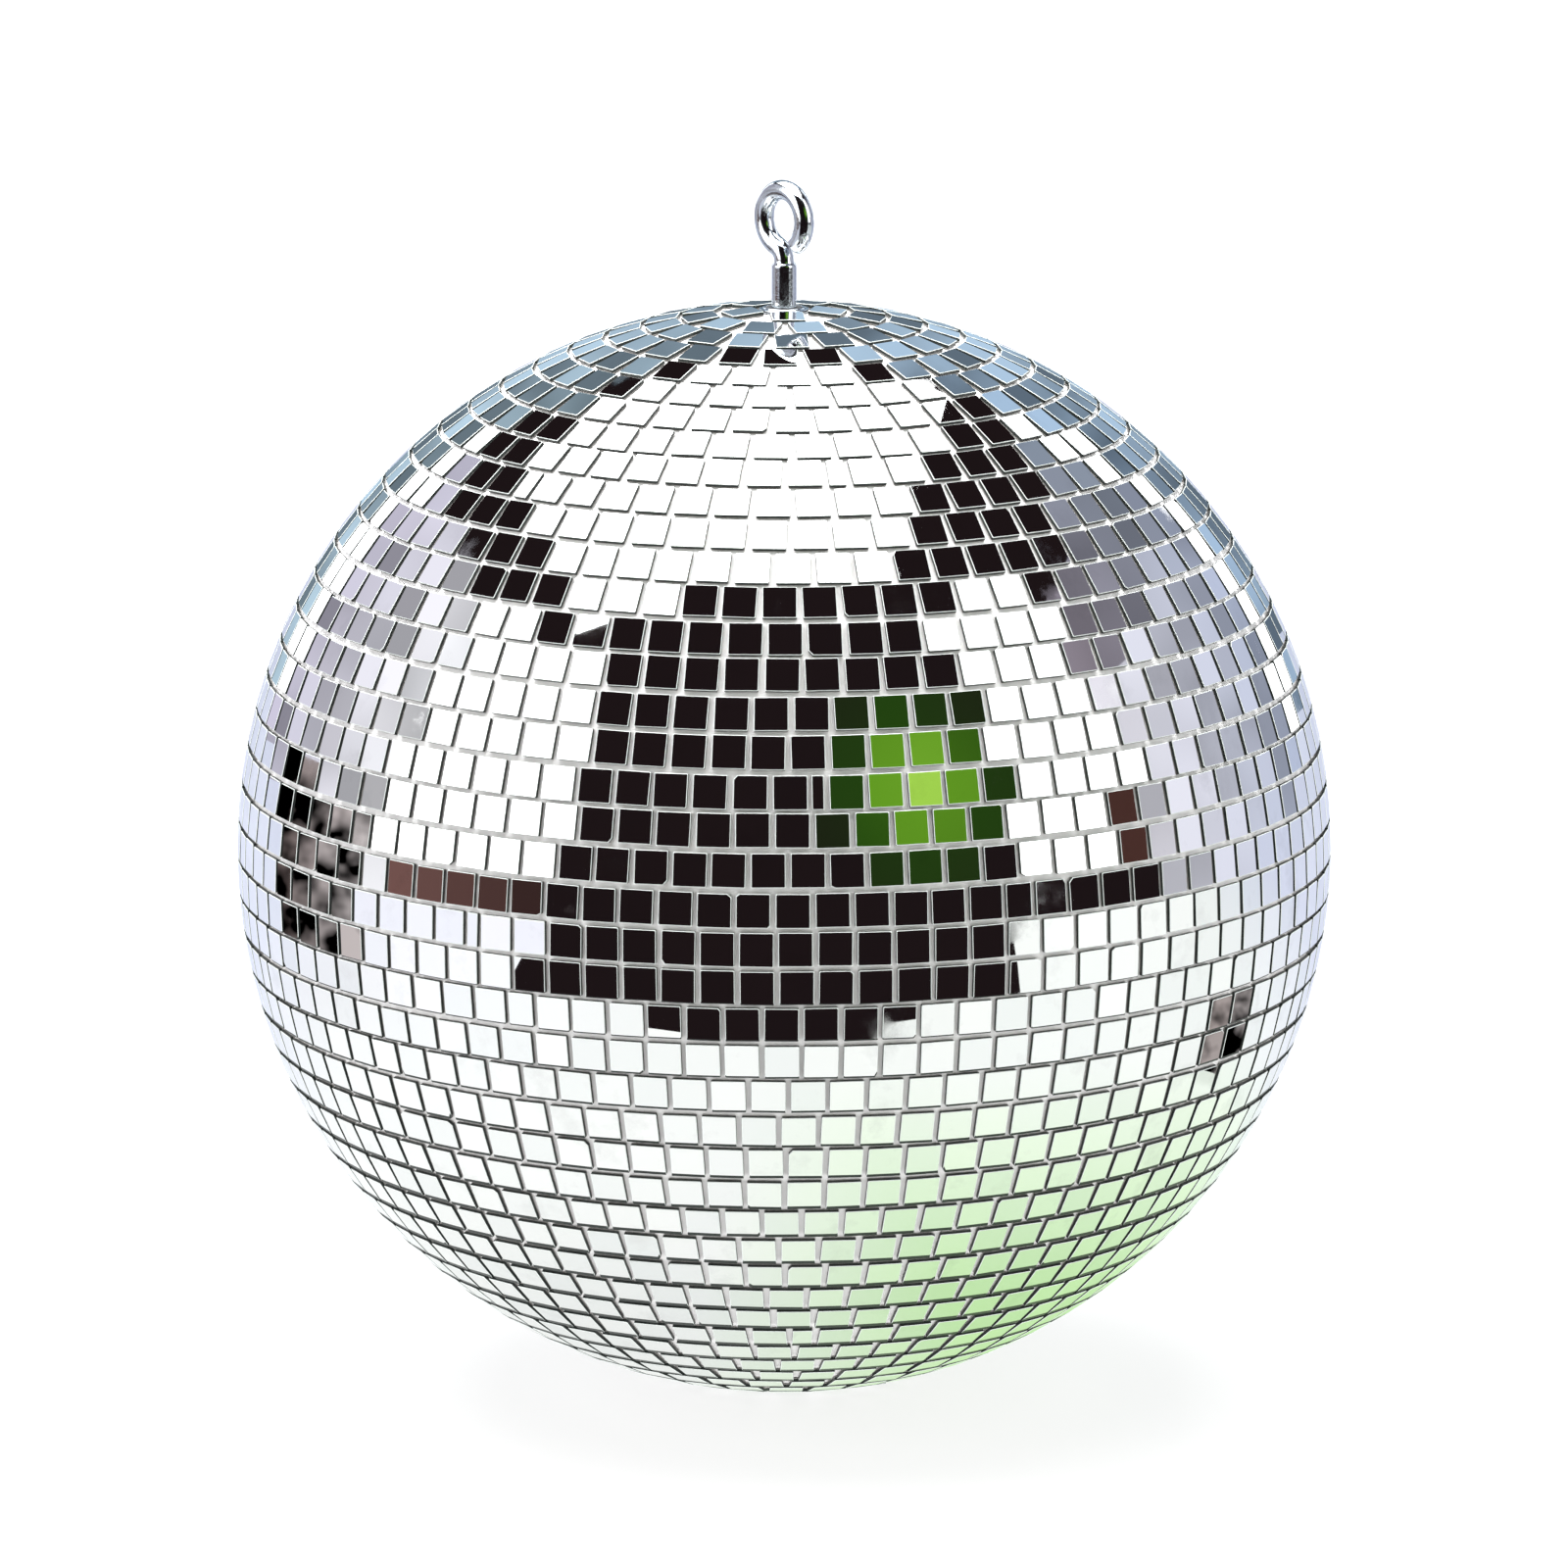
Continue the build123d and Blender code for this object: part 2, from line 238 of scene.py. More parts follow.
def back_paint():
    """The grey protective paint behind the silver, seen as a line at the foot of a tile."""
    material, tree, principled = shader("back_paint", roughness=0.55)
    flecks = noise(tree, 1500, 2)
    colour_by(tree, principled, flecks, (0.22, 0.21, 0.2), (0.4, 0.38, 0.36))
    return material


def adhesive():
    """The pale adhesive layer between the tiles, smeared and a little dusty."""
    material, tree, principled = shader("adhesive", roughness=0.62)
    smears = noise(tree, 180, 6, 0.65)
    colour_by(tree, principled, smears, (0.86, 0.85, 0.845), (0.95, 0.945, 0.94))
    bump(tree, principled, noise(tree, 900, 5), 0.12 * MM)
    return material


def bright_plating():
    """Plated steel: bright but not quite a mirror, with faint haze and wear."""
    material, tree, principled = shader("bright_plating", metallic=1.0)
    haze = noise(tree, 350, 5, 0.6)
    roughen_by(tree, principled, haze, 0.08, 0.2, 0.35, 0.75)
    colour_by(tree, principled, haze, (0.62, 0.66, 0.7), (0.44, 0.48, 0.52))
    bump(tree, principled, noise(tree, 1400, 3), 0.03 * MM)
    return material


def satin_metal(name):
    """Zinc-plated steel or aluminium: satin grey with a cloudy spangle."""
    material, tree, principled = shader(name, metallic=1.0)
    cloud = noise(tree, 220, 6, 0.6)
    roughen_by(tree, principled, cloud, 0.22, 0.45)
    colour_by(tree, principled, cloud, (0.55, 0.56, 0.6), (0.72, 0.73, 0.74))
    bump(tree, principled, noise(tree, 1200, 3), 0.02 * MM)
    return material


def moulded(name, dark, light, grain):
    """Moulded plastic with a fine grain."""
    material, tree, principled = shader(name)
    texture = noise(tree, grain, 4)
    colour_by(tree, principled, texture, dark, light)
    roughen_by(tree, principled, texture, 0.35, 0.6)
    bump(tree, principled, texture, 0.03 * MM)
    return material


MIRROR, ARRIS, SIDE, PAINT = mirror_face(), glass_arris(), glass_side(), back_paint()
ADHESIVE = adhesive()
CHROME, ZINC, RIVET = bright_plating(), satin_metal("zinc_plating"), satin_metal("rivet_metal")
CORE = moulded("core_plastic", (0.07, 0.07, 0.075), (0.12, 0.12, 0.125), 700)
NYLON = moulded("nylon", (0.035, 0.035, 0.035), (0.06, 0.06, 0.06), 1500)
CAP = moulded("cap_plastic", (0.12, 0.12, 0.125), (0.18, 0.18, 0.185), 1200)

NODE_MATERIALS = {
    "eye_bolt": CHROME,
    "thrust_washer": ZINC,
    "lock_nut": ZINC,
    "upper_core_shell": CORE,
    "lower_core_shell": CORE,
    "joint_band": CORE,
    "upper_backing": ADHESIVE,
    "lower_backing": ADHESIVE,
    "top_plate": ZINC,
    "bottom_plate": ZINC,
    "top_rivets": RIVET,
    "bottom_rivets": RIVET,
    "spacer_tube": ZINC,
    "top_bush": NYLON,
    "bottom_bush": NYLON,
    "top_washer": CHROME,
    "bottom_cap": CAP,
}
for node_name, material in NODE_MATERIALS.items():
    node = NODES[node_name]
    node.data.materials.clear()
    node.data.materials.append(material)
    shade_smooth(node)


# --- mirror tiles ---------------------------------------------------------------------------------

ARRIS_WIDTH = 0.16 * MM
ARRIS_DEPTH = 0.12 * MM
PAINT_HEIGHT = 0.22 * MM
PAINTED_SHADE_BAND = 2.0 * MM  # painted shade: a dark band along the lower edge of a tile that would face straight down
CORNER_CUT = (0.1 * MM, 0.28 * MM)
CHIP_SIZE = (0.5 * MM, 1.3 * MM)
CHIP_SHARE = 0.035
OUT_OF_SQUARE = 0.05 * MM
RIGHT_ANGLE_SLACK = 0.05
FIRST_TILE_SEED = 100
TILE_MATERIALS = (MIRROR, ARRIS, SIDE, PAINT)
MIRROR_SLOT, ARRIS_SLOT, SIDE_SLOT, PAINT_SLOT = range(4)


def separate_boxes(mesh):
    """The corner points of each separate closed box in a CAD node's mesh."""
    points = np.array([v.co for v in mesh.vertices])
    welded = {}
    same = [welded.setdefault(tuple(np.round(p, 6)), i) for i, p in enumerate(points)]
    group = {i: i for i in welded.values()}

    def root(i):
        while group[i] != i:
            group[i] = group[group[i]]
            i = group[i]
        return i

    for a, b in (edge.vertices for edge in mesh.edges):
        group[root(same[a])] = root(same[b])
    boxes = {}
    for i in sorted(group):
        boxes.setdefault(root(i), []).append(points[i])
    return [np.array(corners) for corners in boxes.values()]


def tile_frame(corners):
    """A box's own frame: middle of its back face, its axes along the row, across it and outwards,
    and its three sizes."""
    middle = corners.mean(0)
    outward = middle - np.array(BALL_CENTRE)
    first = corners[0]
    arms = sorted((corners[1:] - first), key=np.linalg.norm)
    thick = arms[0]
    slack = RIGHT_ANGLE_SLACK * np.linalg.norm(thick)
    sides = [a for a in arms[1:] if abs(a @ thick) < slack * np.linalg.norm(a)]
    sides = sorted(sides, key=np.linalg.norm)[:2]
    level, steep = sorted(sides, key=lambda a: abs(a[2]) / np.linalg.norm(a))
    sizes = [np.linalg.norm(a) for a in (level, steep, thick)]
    z = thick / sizes[2] * (1 if thick @ outward > 0 else -1)
    y = steep / sizes[1] * (1 if steep[2] > 0 else -1)
    x = np.cross(y, z)
    foot = middle - z * sizes[2] / 2
    return foot, (x, y, z), sizes


def tile_outline(width, height, rng):
    """A tile's outline: four sides a little out of square, each corner cut, a few chipped."""
    outline = []
    for sx, sy in ((-1, -1), (1, -1), (1, 1), (-1, 1)):
        x = sx * width / 2 - sx * rng.uniform(0, OUT_OF_SQUARE)
        y = sy * height / 2 - sy * rng.uniform(0, OUT_OF_SQUARE)
        reach = CHIP_SIZE if rng.random() < CHIP_SHARE else CORNER_CUT
        cut_x, cut_y = rng.uniform(*reach), rng.uniform(*reach)
        pair = [(x - sx * cut_x, y), (x, y - sy * cut_y)]
        outline += pair if sx * sy < 0 else pair[::-1]
    return outline


def inset(outline, amount, width, height):
    """The outline drawn in by an amount on every side."""
    fx, fy = 1 - 2 * amount / width, 1 - 2 * amount / height
    return [(x * fx, y * fy) for x, y in outline]


def raised(outline, shade_band):
    """The outline with its lower edge moved up by the width of the painted shade band."""
    return [(x, y + shade_band if y < 0 else y) for x, y in outline]


def tiles_of(node_name, seed):
    """One object with the detailed tiles of a CAD node. On the lower half of the ball the lower edge of
    each face is painted shade: a band of dark side glass, wider the more the tile faces down, stands in
    for the shade there and for the slanting look through the glass that meets no silver."""
    rng = random.Random(seed)
    vertices, faces, slots, tones = [], [], [], []
    for corners in separate_boxes(NODES[node_name].data):
        foot, (x_axis, y_axis, z_axis), (width, height, thick) = tile_frame(corners)
        outline = tile_outline(width, height, rng)
        # painted shade: a dark band at the foot of the face, wider the more the tile faces down
        shade_band = PAINTED_SHADE_BAND * max(0.0, -z_axis[2])
        rings = (
            (outline, 0.0),
            (outline, PAINT_HEIGHT),
            (outline, thick - ARRIS_DEPTH),
            (raised(inset(outline, ARRIS_WIDTH, width, height), shade_band), thick),
        )
        start, count = len(vertices), len(outline)
        for ring, z in rings:
            vertices += [foot + x_axis * px + y_axis * py + z_axis * z for px, py in ring]
        faces.append([start + i for i in reversed(range(count))])
        faces.append([start + 3 * count + i for i in range(count)])
        slots += [PAINT_SLOT, MIRROR_SLOT]
        for level, slot in enumerate((PAINT_SLOT, SIDE_SLOT, ARRIS_SLOT)):
            low = start + level * count
            for i in range(count):
                j = (i + 1) % count
                faces.append([low + i, low + j, low + count + j, low + count + i])
                # painted shade: along the foot of a downward-facing tile the arris takes the dark side
                # glass
                in_shade_band = shade_band > 0 and outline[i][1] < 0 and outline[j][1] < 0
                slots.append(SIDE_SLOT if slot == ARRIS_SLOT and in_shade_band else slot)
        tones += [rng.random()] * (2 + 3 * count)
    mesh = mesh_from(node_name + "_glass", vertices, faces)
    mesh.polygons.foreach_set("material_index", slots)
    tone = mesh.attributes.new("tone", "FLOAT", "FACE")
    tone.data.foreach_set("value", tones)
    piece = new_object(node_name + "_glass", mesh, TILE_MATERIALS)
    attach(piece, "ball")
    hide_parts(node_name)


for seed, node_name in enumerate(TILE_NODES, FIRST_TILE_SEED):
    tiles_of(node_name, seed)


# --- the eye bolt ---------------------------------------------------------------------------------

eye_low, eye_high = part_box("eye_bolt")
SHANK_RADIUS = eye_high.y
WIRE_RADIUS = 2.7 * MM
EYE_RADIUS = eye_high.x - WIRE_RADIUS
NECK_RADIUS = 4.0 * MM
EYE_END = math.radians(-56)
SHANK_TAPER = 1.2 * MM
SHANK_CHAMFER = 0.3 * MM
THREAD_RADIUS = 3.0 * MM
THREAD_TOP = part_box("thrust_washer")[1].z
THREAD_PITCH = 1.0 * MM
THREAD_DEPTH = 0.5 * MM
THREAD_RUNOUT = 0.05 * MM
STEPS_PER_TURN = 8
END_ROUND = 0.6 * MM
CUT_ROUND = 0.7 * MM
SIDES = 40


def arc_points(centre, radius, start, end, step=math.radians(5)):
    """Points on an arc in the XZ plane, with the direction of travel at each."""
    count = math.ceil(abs(end - start) / step)
    way = 1 if end > start else -1
    points = []
    for i in range(count + 1):
        a = start + (end - start) * i / count
        place = Vector((centre[0] + radius * math.cos(a), 0, centre[1] + radius * math.sin(a)))
        points.append((place, Vector((-math.sin(a), 0, math.cos(a))) * way))
    return points


def thread_radius(z, turn):
    """The radius of the rolled thread at a height and an angle, a helix of rounded ridges."""
    phase = 2 * math.pi * z / THREAD_PITCH - turn
    return THREAD_RADIUS - THREAD_DEPTH / 2 + THREAD_DEPTH / 2 * math.cos(phase)


def eye_bolt_stations():
    """The bolt's line from the thread's end to the eye's cut end: place, direction and radius
    (None where the thread gives it)."""
    neck_z = -math.sqrt((EYE_RADIUS + NECK_RADIUS) ** 2 - NECK_RADIUS**2)
    neck_turn = math.acos(NECK_RADIUS / (EYE_RADIUS + NECK_RADIUS))
    heights = [(eye_low.z, THREAD_RADIUS - THREAD_DEPTH - END_ROUND)]
    steps = math.floor((THREAD_TOP - eye_low.z - END_ROUND) / THREAD_PITCH * STEPS_PER_TURN)
    for i in range(steps):
        heights.append((eye_low.z + END_ROUND + i * THREAD_PITCH / STEPS_PER_TURN, None))
    heights += [
        (THREAD_TOP, THREAD_RADIUS - THREAD_DEPTH),
        (THREAD_TOP + THREAD_RUNOUT, SHANK_RADIUS - SHANK_CHAMFER),
        (THREAD_TOP + THREAD_RUNOUT + SHANK_CHAMFER, SHANK_RADIUS),
        (neck_z - SHANK_TAPER - SHANK_CHAMFER, SHANK_RADIUS),
    ]
    for share in (0.0, 0.25, 0.5, 0.75):
        swell = (SHANK_RADIUS - WIRE_RADIUS) * (0.5 + 0.5 * math.cos(math.pi * share))
        heights.append((neck_z - SHANK_TAPER * (1 - share), WIRE_RADIUS + swell))
    up = Vector((0, 0, 1))
    stations = [(Vector((0, 0, z)), up, radius) for z, radius in heights]
    neck = arc_points((-NECK_RADIUS, neck_z), NECK_RADIUS, 0, neck_turn)
    rounding = CUT_ROUND / EYE_RADIUS
    loop = arc_points((0, 0), EYE_RADIUS, math.pi + neck_turn, EYE_END + rounding)
    stations += [(place, way, WIRE_RADIUS) for place, way in neck[:-1] + loop]
    for share in (0.4, 0.75, 1.0):
        angle = EYE_END + rounding * (1 - share)
        place, way = arc_points((0, 0), EYE_RADIUS, angle + rounding, angle)[-1]
        shrink = CUT_ROUND * (1 - math.sqrt(1 - share**2))
        stations.append((place, way, WIRE_RADIUS - shrink))
    return stations


def eye_bolt():
    """The bolt: rolled thread, shank, a short taper, and wire bent round into an eye."""
    across = Vector((0, 1, 0))
    vertices, faces = [], []
    for place, way, radius in eye_bolt_stations():
        beside = across.cross(way)
        for i in range(SIDES):
            a = 2 * math.pi * i / SIDES
            r = radius or thread_radius(place.z, a)
            vertices.append(place + (beside * math.cos(a) + across * math.sin(a)) * r)
    rings = len(vertices) // SIDES
    for ring in range(rings - 1):
        for i in range(SIDES):
            j = (i + 1) % SIDES
            low, high = ring * SIDES, (ring + 1) * SIDES
            faces.append((low + i, low + j, high + j, high + i))
    faces.append(tuple(reversed(range(SIDES))))
    faces.append(tuple(range((rings - 1) * SIDES, rings * SIDES)))
    piece = new_object("eye_bolt_bent", mesh_from("eye_bolt_bent", vertices, faces), [CHROME])
    shade_smooth(piece)
    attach(piece, "hanger")
    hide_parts("eye_bolt")


eye_bolt()


# --- turned and moulded parts that show -----------------------------------------------------------

CAP_THICKNESS = 1.3 * MM
CAP_WALL = 1.4 * MM
CAP_MIDDLE = 0.01 * MM  # radius of the pinhole left in the middle of the turned disc
SEGMENTS = 96
CORNER_STEPS = 4


def inner_radius(node_name):
    """The smallest radius of a round CAD node, about the ball's axis."""
    return min(math.hypot(v.co.x, v.co.y) for v in NODES[node_name].data.vertices)


def softened(corners, radius):
    """A closed outline with every corner rounded."""
    outline = []
    count = len(corners)
    for i, corner in enumerate(corners):
        here = Vector(corner)
        before, after = Vector(corners[i - 1]) - here, Vector(corners[(i + 1) % count]) - here
        reach = min(radius, before.length / 2.2, after.length / 2.2)
        first, last = here + before.normalized() * reach, here + after.normalized() * reach
        for k in range(CORNER_STEPS + 1):
            t = k / CORNER_STEPS
            outline.append(first * (1 - t) ** 2 + here * (2 * t * (1 - t)) + last * t**2)
    return outline


def turned(name, corners, radius, material, replaced):
    """A ring turned about the ball's axis from a closed outline of (radius, height) corners, which
    are rounded to the radius."""
    outline = softened(corners, radius)
    vertices, faces = [], []
    for s in range(SEGMENTS):
        a = 2 * math.pi * s / SEGMENTS
        vertices += [Vector((p.x * math.cos(a), p.x * math.sin(a), p.y)) for p in outline]
    count = len(outline)
    for s in range(SEGMENTS):
        here, after = s * count, (s + 1) % SEGMENTS * count
        for i in range(count):
            j = (i + 1) % count
            faces.append((here + i, after + i, after + j, here + j))
    piece = new_object(name, mesh_from(name, vertices, faces), [material])
    form = bmesh.new()
    form.from_mesh(piece.data)
    bmesh.ops.recalc_face_normals(form, faces=form.faces)
    form.to_mesh(piece.data)
    form.free()
    shade_smooth(piece)
    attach(piece, "ball")
    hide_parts(replaced)


def top_washer():
    """The plated washer round the bush, with a raised inner rim."""
    low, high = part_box("top_washer")
    bore, rim = inner_radius("top_washer"), high.x
    edge = low.z + (high.z - low.z) * 0.62
    face = edge + 0.12 * MM
    corners = [
        (bore, low.z),
        (rim, low.z),
        (rim, edge),
        (rim - 0.5 * MM, face),
        (bore + 0.75 * MM, face),
        (bore + 0.55 * MM, high.z),
        (bore, high.z),
    ]
    turned("top_washer_pressed", corners, 0.2 * MM, CHROME, "top_washer")


def top_bush():
    """The nylon bush that the shank runs in, chamfered at its mouth."""
    low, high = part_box("top_bush")
    bore, rim = inner_radius("top_bush"), high.x
    mouth = 0.5 * MM
    corners = [
        (bore, low.z),
        (rim, low.z),
        (rim, high.z),
        (bore + mouth, high.z),
        (bore, high.z - mouth),
    ]
    turned("top_bush_moulded", corners, 0.25 * MM, NYLON, "top_bush")


def bottom_cap():
    """The moulded cap over the nut: a dished disc on a short skirt, with a ring round its face."""
    low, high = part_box("bottom_cap")
    rim = high.x
    skirt = inner_radius("bottom_cap")
    disc_top = low.z + CAP_THICKNESS
    dish, groove = low.z + 0.35 * MM, low.z + 0.25 * MM
    corners = [
        (CAP_MIDDLE, dish),
        (rim * 0.35, dish),
        (rim * 0.42, low.z + 0.12 * MM),
        (rim * 0.72, low.z),
        (rim * 0.75, groove),
        (rim * 0.79, groove),
        (rim * 0.82, low.z),
        (rim - 0.5 * MM, low.z + 0.1 * MM),
        (rim, low.z + 0.5 * MM),
        (rim, disc_top),
        (skirt + CAP_WALL, disc_top),
        (skirt + CAP_WALL, high.z),
        (skirt, high.z),
        (skirt, disc_top),
        (CAP_MIDDLE, disc_top),
    ]
    turned("bottom_cap_moulded", corners, 0.2 * MM, CAP, "bottom_cap")


top_washer()
top_bush()
bottom_cap()


# --- studio ---------------------------------------------------------------------------------------

CAMERA_DISTANCE = 2.75
FRAME_HEIGHT = 0.43  # what the frame shows, at the ball
SENSOR = 36.0

CARD_DISTANCE = 4.0
STRIPE_DISTANCE = 3.8  # before the other cards
LAMP_DISTANCE = 4.2  # behind them
CARD_STEP = 4.0
LAMP_RINGS, LAMP_SPOKES = 8, 24
WHITE = (3.5, 3.5, 3.5)

SOFTBOX_RADIANCE = 8.125
SOFTBOX_HEIGHT = 1.8  # above the ball's centre
SOFTBOX_SIDES = (-1.42, 0.74)  # left and right edges
SOFTBOX_ENDS = (-1.5, 0.82)  # back and front edges

FLOOR_REACH = 12.0
SHEET_DROP = 0.4 * MM
SHEET_OUTLINE = (  # right, forward
    (-1.5, -3.0),
    (1.5, -3.0),
    (1.5, 1.35),
    (0.42, 0.42),
    (-0.45, 0.39),
    (-1.5, 1.42),
)
BOUNCE_REACH = 1.5
DOME_RADIUS = 10.0


def direction(azimuth, elevation):
    """A unit vector from the ball. Azimuth 0 points to the camera and 90 to its right."""
    a, e = math.radians(azimuth) + VIEW_AZIMUTH, math.radians(elevation)
    return Vector((math.sin(a) * math.cos(e), -math.cos(a) * math.cos(e), math.sin(e)))


def studio_point(right, forward, height):
    """A point given to the right of the ball, towards the camera and above the ball's centre."""
    return BALL_CENTRE + direction(90, 0) * right + direction(0, 0) * forward + Vector((0, 0, height))


def make_camera():
    data = bpy.data.cameras.new("camera")
    data.sensor_width = SENSOR
    data.lens = SENSOR * CAMERA_DISTANCE / FRAME_HEIGHT
    data.clip_start, data.clip_end = 0.05, 100
    camera = bpy.data.objects.new("camera", data)
    bpy.context.scene.collection.objects.link(camera)
    low, high = cad_box
    to_camera = direction(0, VIEW_ELEVATION)
    camera.location = (low + high) / 2 + to_camera * CAMERA_DISTANCE
    camera.rotation_euler = to_camera.to_track_quat("Z", "Y").to_euler()
    bpy.context.scene.camera = camera


def glow(name, colour, strength=1.0):
    """A plain emitting material for the studio. Returns it with its node tree and its emission."""
    material = bpy.data.materials.new(name)
    material.use_nodes = True
    tree = material.node_tree
    tree.nodes.clear()
    emission = tree.nodes.new("ShaderNodeEmission")
    emission.inputs["Color"].default_value = (*colour, 1)
    emission.inputs["Strength"].default_value = strength
    output = tree.nodes.new("ShaderNodeOutputMaterial")
    tree.links.new(emission.outputs["Emission"], output.inputs["Surface"])
    return material, tree, emission


def hang(name, vertices, faces, material, attribute_name, values):
    """Hang a card in the studio with a value at each point. Only reflections and diffuse light
    see it."""
    mesh = mesh_from(name, vertices, faces)
    mesh.attributes.new(attribute_name, "FLOAT", "POINT").data.foreach_set("value", values)
    obj = new_object(name, mesh, [material])
    obj.visible_camera = False
    obj.visible_shadow = False


def card(name, azimuths, elevations, near, far=None, blotch=0.0, distance=CARD_DISTANCE, grain=2.2):
    """A curved studio card round the ball. Its colour runs from near at its first azimuth to far at
    its last, broken up by soft blotches."""
    columns = math.ceil((azimuths[1] - azimuths[0]) / CARD_STEP)
    rows = math.ceil((elevations[1] - elevations[0]) / CARD_STEP)
    vertices, faces = [], []
    for r in range(rows + 1):
        elevation = elevations[0] + (elevations[1] - elevations[0]) * r / rows
        for c in range(columns + 1):
            azimuth = azimuths[0] + (azimuths[1] - azimuths[0]) * c / columns
            vertices.append(BALL_CENTRE + direction(azimuth, elevation) * distance)
    for r in range(rows):
        for c in range(columns):
            first = r * (columns + 1) + c
            faces.append((first, first + 1, first + columns + 2, first + columns + 1))
    material, tree, emission = glow(name, near)
    colour = blend_colours(tree, attribute(tree, "across"), near, far or near)
    cloud = spread(tree, noise(tree, grain, 3), 0, 1, 0.42, 0.58)
    tree.links.new(colour, emission.inputs["Color"])
    tree.links.new(spread(tree, cloud, 1 - blotch, 1 + blotch / 2), emission.inputs["Strength"])
    across = [i % (columns + 1) / columns for i in range(len(vertices))]
    hang(name, vertices, faces, material, "across", across)


def lamp_glow(name, azimuth, elevation, reach):
    """A green lamp seen in the tiles: bright in the middle and dying away around it."""
    vertices = [BALL_CENTRE + direction(azimuth, elevation) * LAMP_DISTANCE]
    values, faces = [1.0], []
    for r in range(1, LAMP_RINGS + 1):
        for k in range(LAMP_SPOKES):
            turn = 2 * math.pi * k / LAMP_SPOKES
            off = reach * r / LAMP_RINGS
            beside = azimuth + off * math.cos(turn) / math.cos(math.radians(elevation))
            above = elevation + off * math.sin(turn)
            vertices.append(BALL_CENTRE + direction(beside, above) * LAMP_DISTANCE)
            values.append(1 - r / LAMP_RINGS)
    for k in range(LAMP_SPOKES):
        j = (k + 1) % LAMP_SPOKES
        faces.append((0, 1 + k, 1 + j))
        for r in range(LAMP_RINGS - 1):
            low, high = 1 + r * LAMP_SPOKES, 1 + (r + 1) * LAMP_SPOKES
            faces.append((low + k, high + k, high + j, low + j))
    dark, bright = (0.012, 0.008, 0.008, 1), (0.45, 0.78, 0.10, 1)
    material, tree, emission = glow(name, bright[:3])
    ramp = tree.nodes.new("ShaderNodeValToRGB")
    ramp.color_ramp.elements[0].color = dark
    ramp.color_ramp.elements[1].color = bright
    for place, colour in ((0.35, (0.02, 0.07, 0.006, 1)), (0.62, (0.14, 0.36, 0.02, 1))):
        ramp.color_ramp.elements.new(place).color = colour
    tree.links.new(attribute(tree, "nearness"), ramp.inputs["Fac"])
    tree.links.new(ramp.outputs["Color"], emission.inputs["Color"])
    hang(name, vertices, faces, material, "nearness", values)


def softbox():
    """The large overhead softbox."""
    (left, right), (back, front) = SOFTBOX_SIDES, SOFTBOX_ENDS
    width, depth = right - left, front - back
    data = bpy.data.lights.new("softbox", "AREA")
    data.shape = "RECTANGLE"
    data.size, data.size_y = width, depth
    data.energy = math.pi * width * depth * SOFTBOX_RADIANCE
    light = bpy.data.objects.new("softbox", data)
    light.location = studio_point((left + right) / 2, (front + back) / 2, SOFTBOX_HEIGHT)
    light.rotation_euler = (0, 0, VIEW_AZIMUTH)
    light.visible_camera = False
    bpy.context.scene.collection.objects.link(light)


def square(reach):
    """The corners of a square round the ball."""
    return [(-reach, -reach), (reach, -reach), (reach, reach), (-reach, reach)]


def plane(name, corners, material):
    return new_object(name, mesh_from(name, corners, [tuple(range(len(corners)))]), [material])


def pale_floor():
    """The floor that the camera sees."""
    material, tree, principled = shader("pale_floor", roughness=0.8)
    principled.inputs["Base Color"].default_value = (0.2, 0.2, 0.199, 1)
    principled.inputs["Emission Color"].default_value = (1, 1, 1, 1)
    own_light = spread(tree, away(tree, 0.6, 2.5), 0.78, 1.0)
    tree.links.new(own_light, principled.inputs["Emission Strength"])
    floor = plane("floor", [(x, y, FLOOR_Z) for x, y in square(FLOOR_REACH)], material)
    floor.visible_glossy = False
    floor.visible_diffuse = False


def floor_sheet():
    """The shorter floor that the tiles reflect: white, with painted light and shade on it: a pale green
    cast of painted light close to the ball on its right, and lavender painted shade behind it and far to
    the left."""
    material, tree, principled = shader("floor_sheet", roughness=0.7)
    principled.inputs["Base Color"].default_value = (0.13, 0.13, 0.13, 1)
    # painted light: a pale green cast close to the ball, used on its right
    green = blend_colours(tree, away(tree, 0.1, 0.3), (0.62, 0.95, 0.45), (0.97, 1.0, 0.97))
    left = along(tree, direction(-90, 0), 0.15, 0.8)
    # painted shade: lavender far to the left
    plain = blend_colours(tree, left, (0.98, 1.0, 0.98), (0.8, 0.8, 0.92))
    right = along(tree, direction(90, 0), -0.03, 0.06)
    near = blend_colours(tree, right, plain, green)
    # painted shade: lavender-blue behind the ball
    behind = along(tree, direction(180, 0), 0.04, 0.4)
    tint = blend_colours(tree, behind, near, (0.62, 0.66, 0.84))
    tree.links.new(tint, principled.inputs["Emission Color"])
    principled.inputs["Emission Strength"].default_value = 0.84
    height = FLOOR_Z - BALL_CENTRE.z - SHEET_DROP
    sheet = plane("floor_sheet", [studio_point(x, y, height) for x, y in SHEET_OUTLINE], material)
    sheet.visible_camera = False
    sheet.visible_diffuse = False
    sheet.visible_shadow = False


def floor_bounce():
    """Light thrown up by the floor into the joints between the tiles."""
    height = FLOOR_Z - BALL_CENTRE.z - 2 * SHEET_DROP
    corners = [studio_point(x, y, height) for x, y in square(BOUNCE_REACH)]
    sheet = plane("floor_bounce", corners, glow("floor_bounce", (1, 1, 1), 1.6)[0])
    sheet.visible_camera = False
    sheet.visible_glossy = False
    sheet.visible_shadow = False


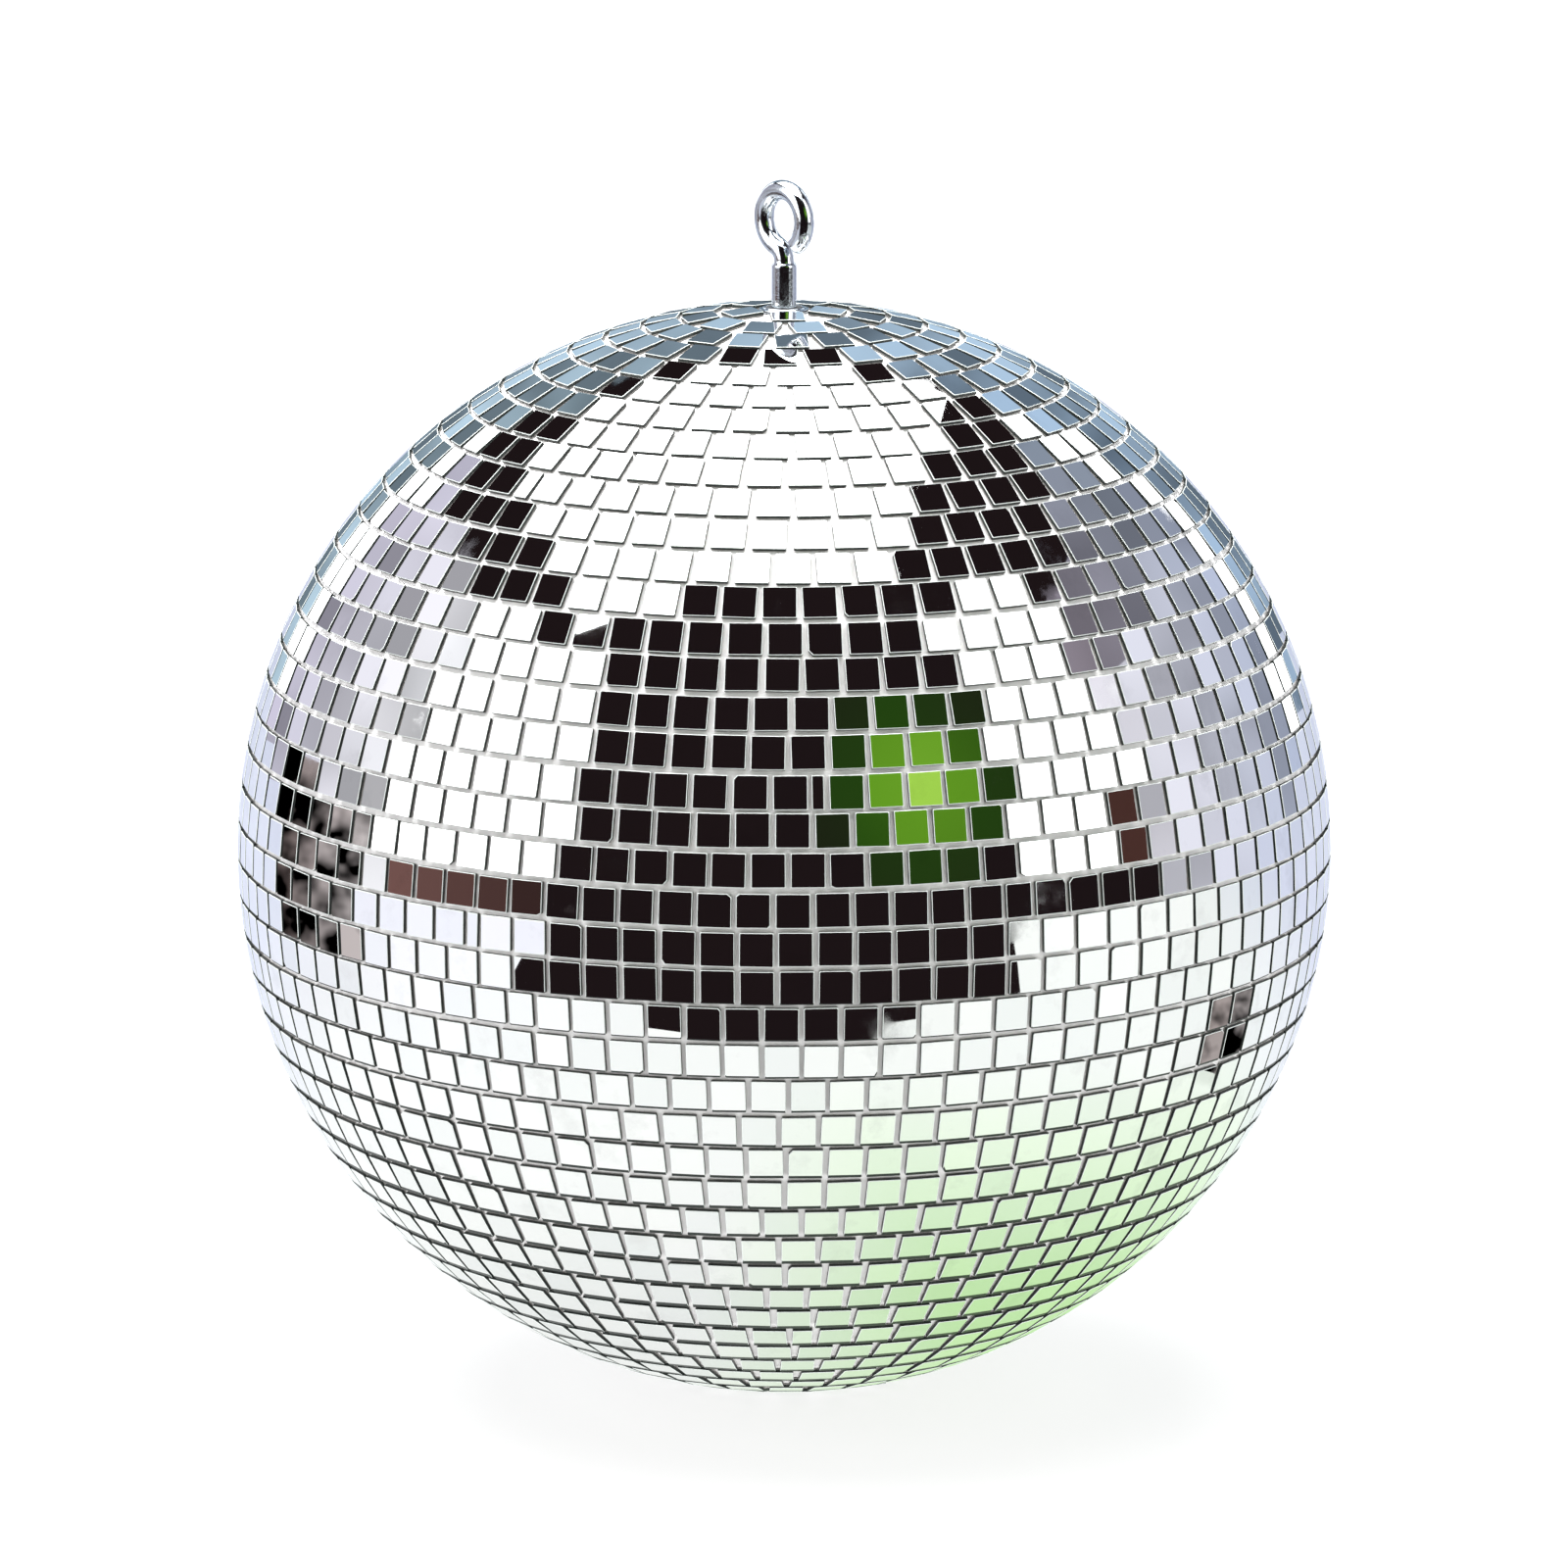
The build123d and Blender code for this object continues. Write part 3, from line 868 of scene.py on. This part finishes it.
def backdrop():
    """A plain pale dome, seen only by the camera."""
    mesh = bpy.data.meshes.new("backdrop")
    form = bmesh.new()
    bmesh.ops.create_uvsphere(form, u_segments=32, v_segments=16, radius=DOME_RADIUS)
    form.to_mesh(mesh)
    form.free()
    dome = new_object("backdrop", mesh, [glow("backdrop", (1, 1, 1))[0]])
    dome.visible_diffuse = False
    dome.visible_glossy = False
    dome.visible_shadow = False
    dome.visible_transmission = False


def dark_room():
    """The near-black room that the tiles show between the cards."""
    world = bpy.data.worlds.new("room")
    world.use_nodes = True
    background = world.node_tree.nodes["Background"]
    background.inputs["Color"].default_value = (0.013, 0.008, 0.009, 1)
    background.inputs["Strength"].default_value = 1.0
    bpy.context.scene.world = world
    bpy.context.scene.view_settings.view_transform = "Standard"


def cards():
    """The white panels, walls and props whose reflections the tiles show."""
    card("left_panel", (-91, -44), (-1, 42), WHITE)
    card("right_panel", (49, 82), (-1, 56), WHITE)
    card("brown_prop", (74, 82), (-1, 12), (0.07, 0.03, 0.025), distance=STRIPE_DISTANCE)
    card("horizon_left", (-90, -48), (-9, -1), (0.20, 0.10, 0.09), (0.02, 0.01, 0.01))
    card("left_far_wall", (-150, -126), (-9, 32), (0.5, 0.47, 0.6), (0.62, 0.6, 0.7), 0.5)
    card("left_wall", (-126, -91), (-9, 39), (0.62, 0.6, 0.7), (0.97, 0.96, 1.0), 0.5)
    card("right_wall", (82, 140), (-9, 31), (0.82, 0.80, 0.88), (0.42, 0.47, 0.62), 0.4)
    card("right_upper_wall", (82, 140), (31, 46), (0.30, 0.26, 0.31), (0.22, 0.26, 0.33), 0.4)
    card("left_stripe", (-152, -143), (0, 30), WHITE, distance=STRIPE_DISTANCE)
    card("right_stripe", (140, 148), (-9, 40), WHITE)
    card("left_neighbour", (-116, -84), (-15, 6), (0.13, 0.09, 0.085), (0.42, 0.38, 0.38), 1.0, 0.45, 45)
    card("right_neighbour", (82, 95), (-29, -17), (0.24, 0.2, 0.19), (0.36, 0.33, 0.33), 1.0, 0.3, 70)
    card("back_wall", (148, 210), (-9, 42), (0.32, 0.44, 0.60), (0.42, 0.56, 0.66), 0.65)


make_camera()
softbox()
pale_floor()
floor_sheet()
floor_bounce()
backdrop()
dark_room()
cards()
lamp_glow("green_lamp", 30, 23, 21)
